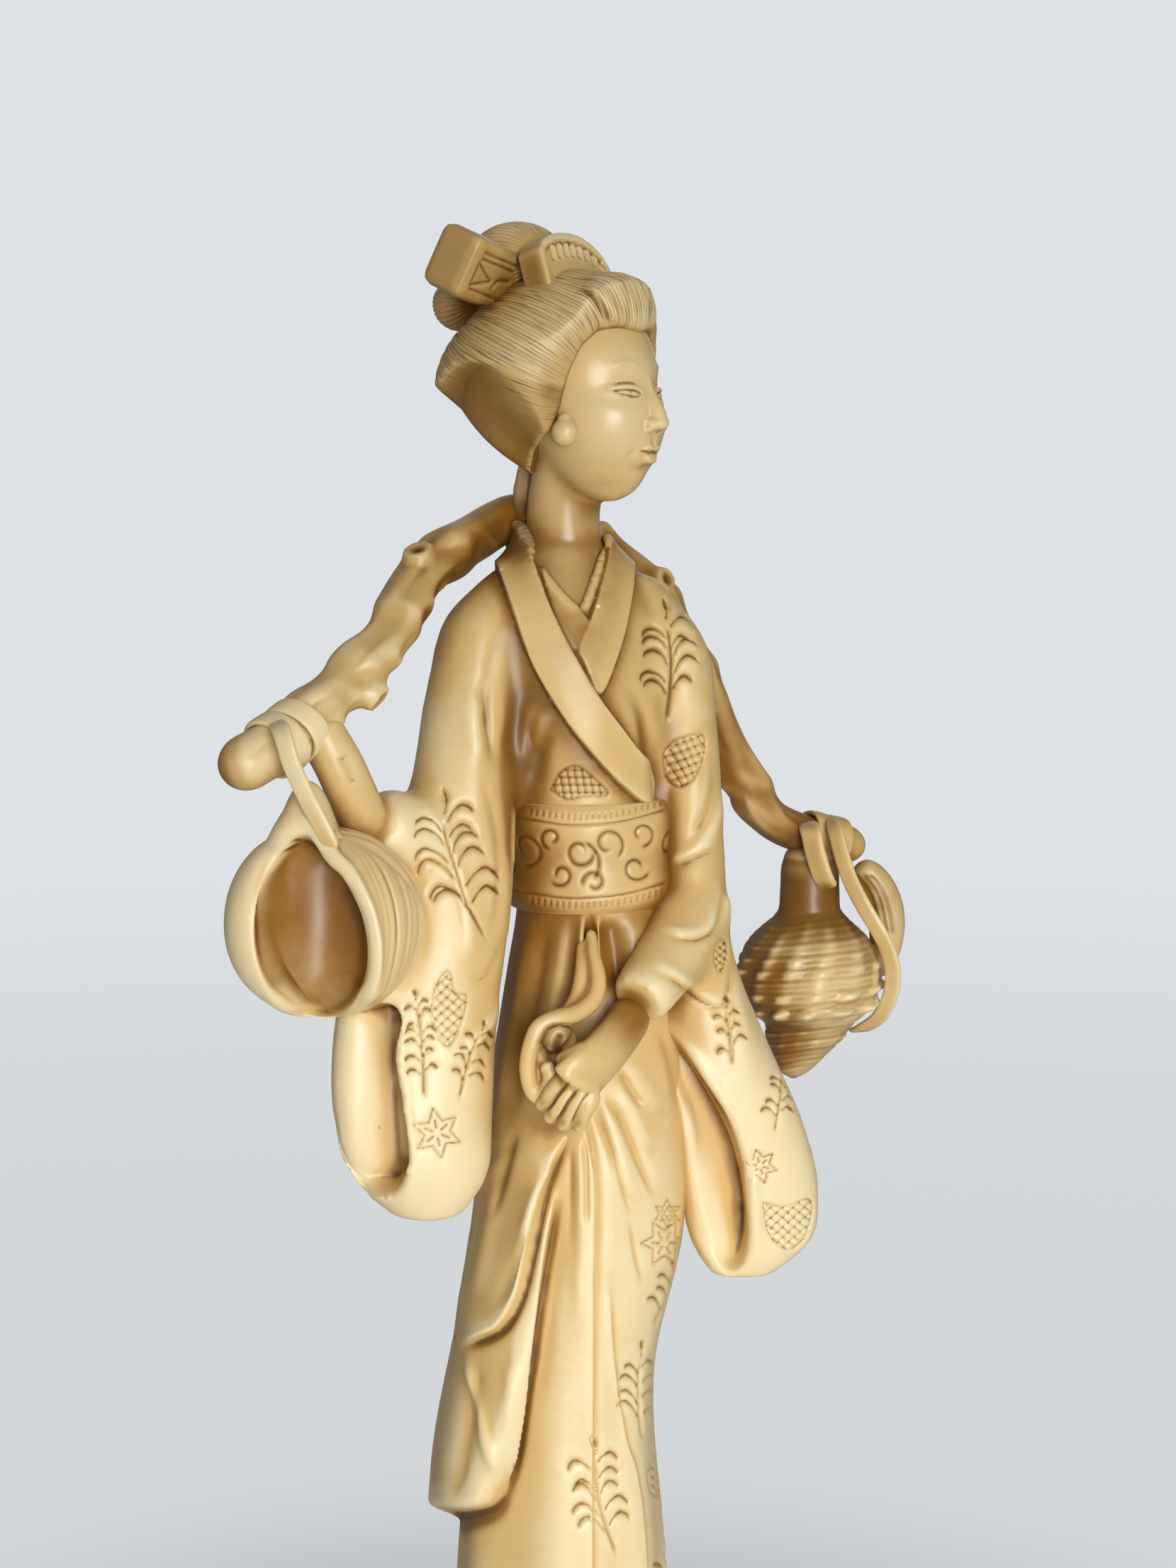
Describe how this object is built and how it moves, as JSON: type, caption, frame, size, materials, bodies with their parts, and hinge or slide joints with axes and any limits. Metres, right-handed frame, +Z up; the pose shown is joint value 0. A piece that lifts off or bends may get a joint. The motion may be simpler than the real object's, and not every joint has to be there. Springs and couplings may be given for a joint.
{
  "type": "geisha figurine",
  "caption": "Standing ivory-coloured resin figurine of a geisha in a long-sleeved kimono, carrying sea shells on a branch yoke across the shoulders; rests on a round plinth.",
  "frame": {"origin": "centre of the felt pad's underside, where the figurine stands", "axes": "+Z up; the viewer of the picture looks along +Y; +X to the viewer's right, which is the figure's left"},
  "size_m": [0.1428, 0.1144, 0.3977],
  "materials": {
    "ivory_resin": "satin polish with brown patina in the carving",
    "hair_resin": "combed grooves with brown patina",
    "branch_resin": "knotted, satin polish",
    "shell_resin": "ribbed, satin polish",
    "felt": "short pile",
    "steel": "plain"
  },
  "bodies": {
    "root": {"felt_pad": "felt", "plinth": "ivory_resin", "base_screw": "steel", "skirt": "ivory_resin", "front_panel": "ivory_resin", "drape_upper": "ivory_resin", "drape_lower": "ivory_resin", "gathered_fold": "ivory_resin", "bodice": "ivory_resin", "obi_sash": "ivory_resin", "obi_knot": "ivory_resin", "outer_collar": "ivory_resin", "under_collar": "ivory_resin", "inner_collar": "ivory_resin", "innermost_collar": "ivory_resin", "head": "ivory_resin", "neck_dowel": "steel", "hair_cap": "hair_resin", "hair_bun": "hair_resin", "hair_comb": "ivory_resin", "hair_bar": "ivory_resin", "right_earring": "ivory_resin", "left_earring": "ivory_resin", "right_sleeve": "ivory_resin", "right_hand": "ivory_resin", "left_sleeve": "ivory_resin", "left_hand": "ivory_resin", "yoke_right_limb": "branch_resin", "yoke_left_limb": "branch_resin", "yoke_pin": "steel", "right_strap_turn_1": "ivory_resin", "right_strap_turn_2": "ivory_resin", "left_strap_turn_1": "ivory_resin", "left_strap_turn_2": "ivory_resin", "right_strap_drop": "ivory_resin", "left_strap_loop": "ivory_resin", "right_shell": "shell_resin", "left_shell": "shell_resin"}
  },
  "joints": []
}
